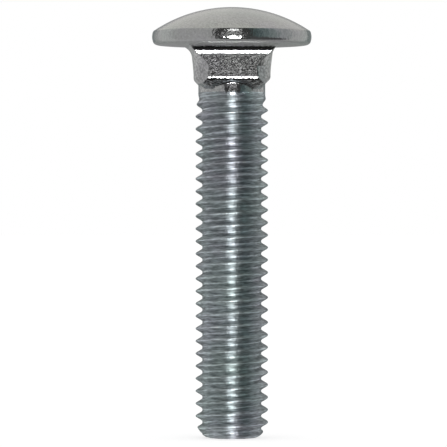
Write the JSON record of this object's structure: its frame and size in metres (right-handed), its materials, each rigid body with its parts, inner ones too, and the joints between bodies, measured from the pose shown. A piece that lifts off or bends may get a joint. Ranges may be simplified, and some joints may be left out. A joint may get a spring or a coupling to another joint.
{
  "type": "carriage bolt",
  "caption": "Round-head carriage bolt with a low domed head, a square neck and a coarse right-hand thread, in bright zinc-plated steel.",
  "frame": {"origin": "centre of the flat threaded end, on the shank's axis", "axes": "+Z along the shank's axis towards the head; X and Y square to the neck's flats"},
  "size_m": [0.0202, 0.0202, 0.0548],
  "materials": {
    "zinc_plate": "bright zinc plate with a clear passivate"
  },
  "bodies": {
    "root": {"carriage_bolt": "zinc_plate"}
  },
  "joints": []
}
